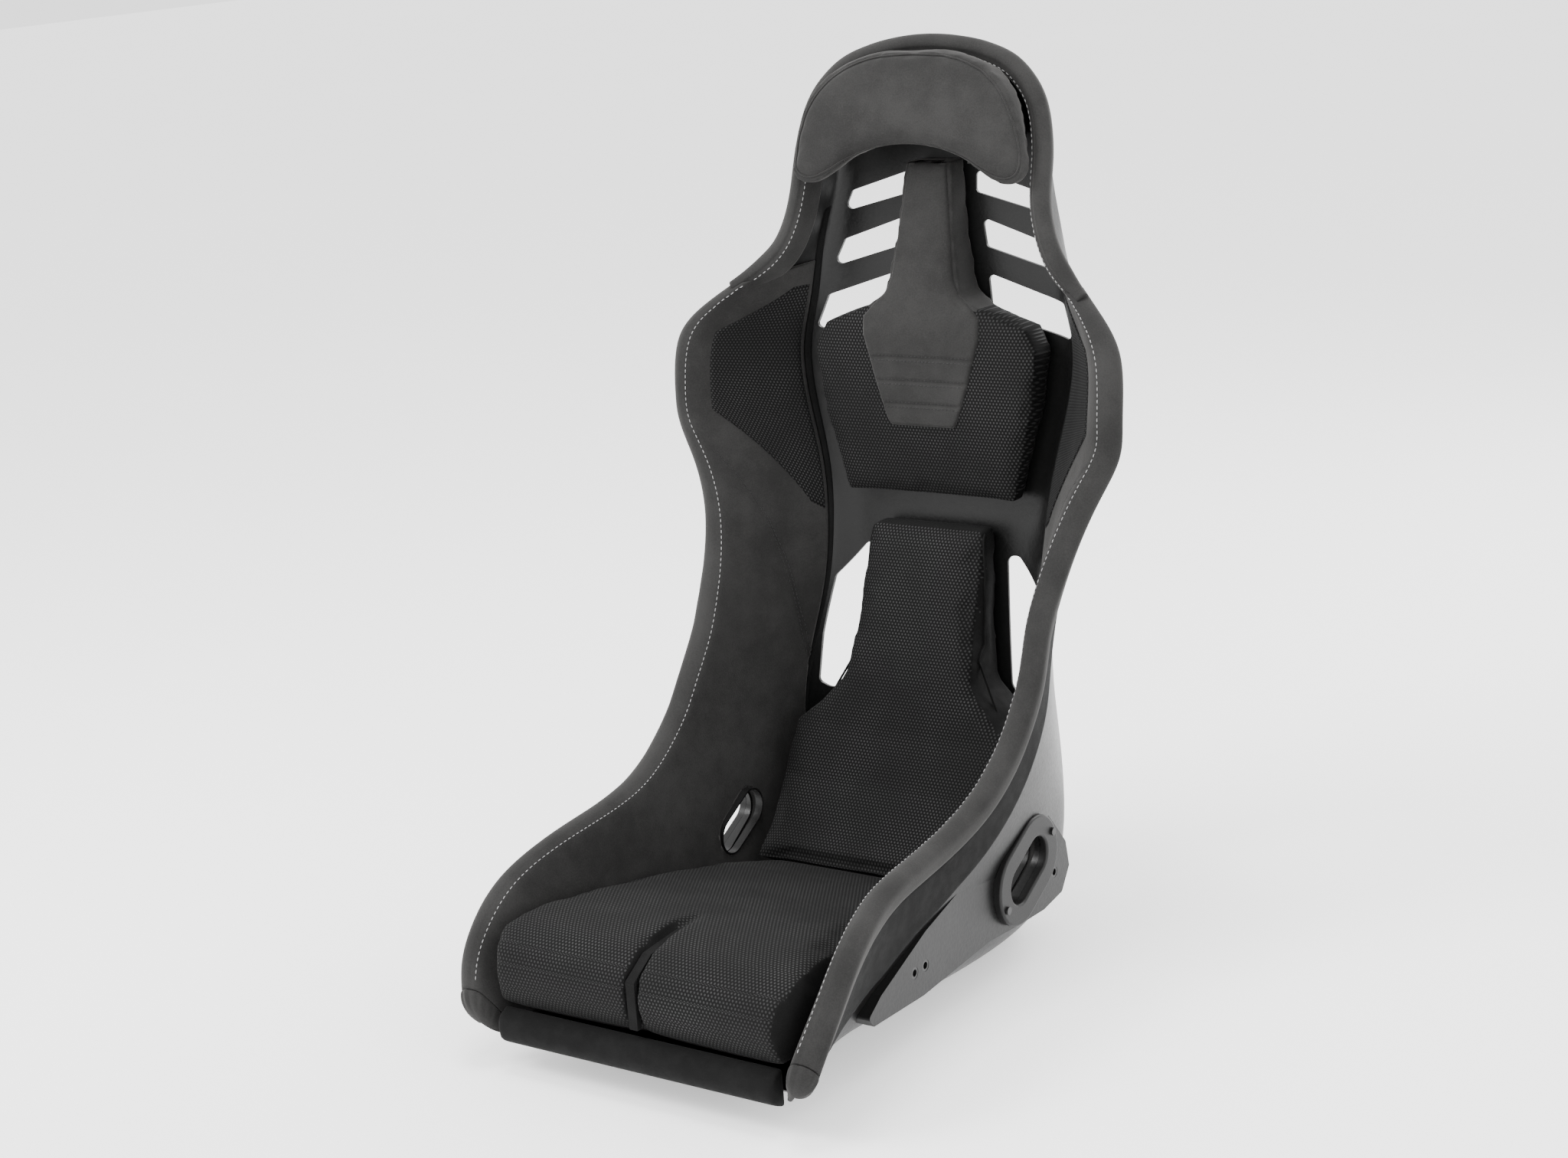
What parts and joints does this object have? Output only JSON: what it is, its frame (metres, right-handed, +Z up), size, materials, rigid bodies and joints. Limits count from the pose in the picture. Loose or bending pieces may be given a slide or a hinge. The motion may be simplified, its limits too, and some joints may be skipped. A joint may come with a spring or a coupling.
{
  "type": "fixed-back racing seat",
  "caption": "Fixed-back bucket racing seat with a moulded shell, padded bolsters, lap-belt slots, slotted back and lift-off pads.",
  "frame": {"origin": "midpoint between the two rear side-mount holes", "axes": "+X across the seat towards the side on the viewer's right, -Y towards the driver's knees, +Z up with the side-mount holes level"},
  "size_m": [0.5994, 0.763, 1.0343],
  "materials": {
    "shell": "satin black moulded glass-fibre laminate",
    "suede": "dark grey suede cloth",
    "velour": "black velour",
    "mesh": "black spacer mesh with grey dots",
    "foam": "dark foam",
    "strip": "black hook-and-loop tape",
    "plastic": "black moulded plastic",
    "steel": "black zinc-plated steel"
  },
  "bodies": {
    "seat": {"seat_shell": "shell", "side_bolster_left": "suede", "side_bolster_right": "suede", "head_rim_bolster": "suede", "outer_band_left": "velour", "outer_band_right": "velour", "inner_strip_left": "velour", "inner_strip_right": "velour", "shoulder_panel_left": "mesh", "shoulder_panel_right": "mesh", "window_tab_left": "velour", "window_tab_right": "velour", "belt_bezel_left": "plastic", "belt_bezel_right": "plastic", "bezel_screws_left": "steel", "bezel_screws_right": "steel", "mount_inserts_left": "steel", "mount_inserts_right": "steel", "belt_sleeve_left": "plastic", "belt_sleeve_right": "plastic", "front_edge_roll": "velour", "corner_wrap_left": "suede", "corner_wrap_right": "suede", "cushion_hook_strips": "strip", "lumbar_hook_strips": "strip", "back_pad_hook_strips": "strip", "head_pad_hook_strips": "strip"},
    "seat_cushion": {"seat_cushion": "mesh", "cushion_groove_insert": "velour", "cushion_loop_strips": "strip"},
    "lumbar_pad": {"lumbar_pad": "mesh", "lumbar_loop_strips": "strip"},
    "upper_back_pad": {"upper_back_pad": "mesh", "back_pad_insert": "suede", "back_pad_loop_strips": "strip"},
    "head_pad": {"head_pad": "suede", "head_pad_core": "foam", "head_pad_loop_strips": "strip"}
  },
  "joints": [
    {"name": "cushion_lift_off", "type": "slide", "parent": "seat", "child": "seat_cushion", "axis": [0, -0.9511, 0.309], "range_m": [0, 0.15]},
    {"name": "lumbar_lift_off", "type": "slide", "parent": "seat", "child": "lumbar_pad", "axis": [0, -0.94, 0.3412], "range_m": [0, 0.035]},
    {"name": "back_pad_lift_off", "type": "slide", "parent": "seat", "child": "upper_back_pad", "axis": [0, -0.9968, 0.08], "range_m": [0, 0.12]},
    {"name": "head_pad_lift_off", "type": "slide", "parent": "seat", "child": "head_pad", "axis": [0, -0.9703, 0.2419], "range_m": [0, 0.12]}
  ]
}
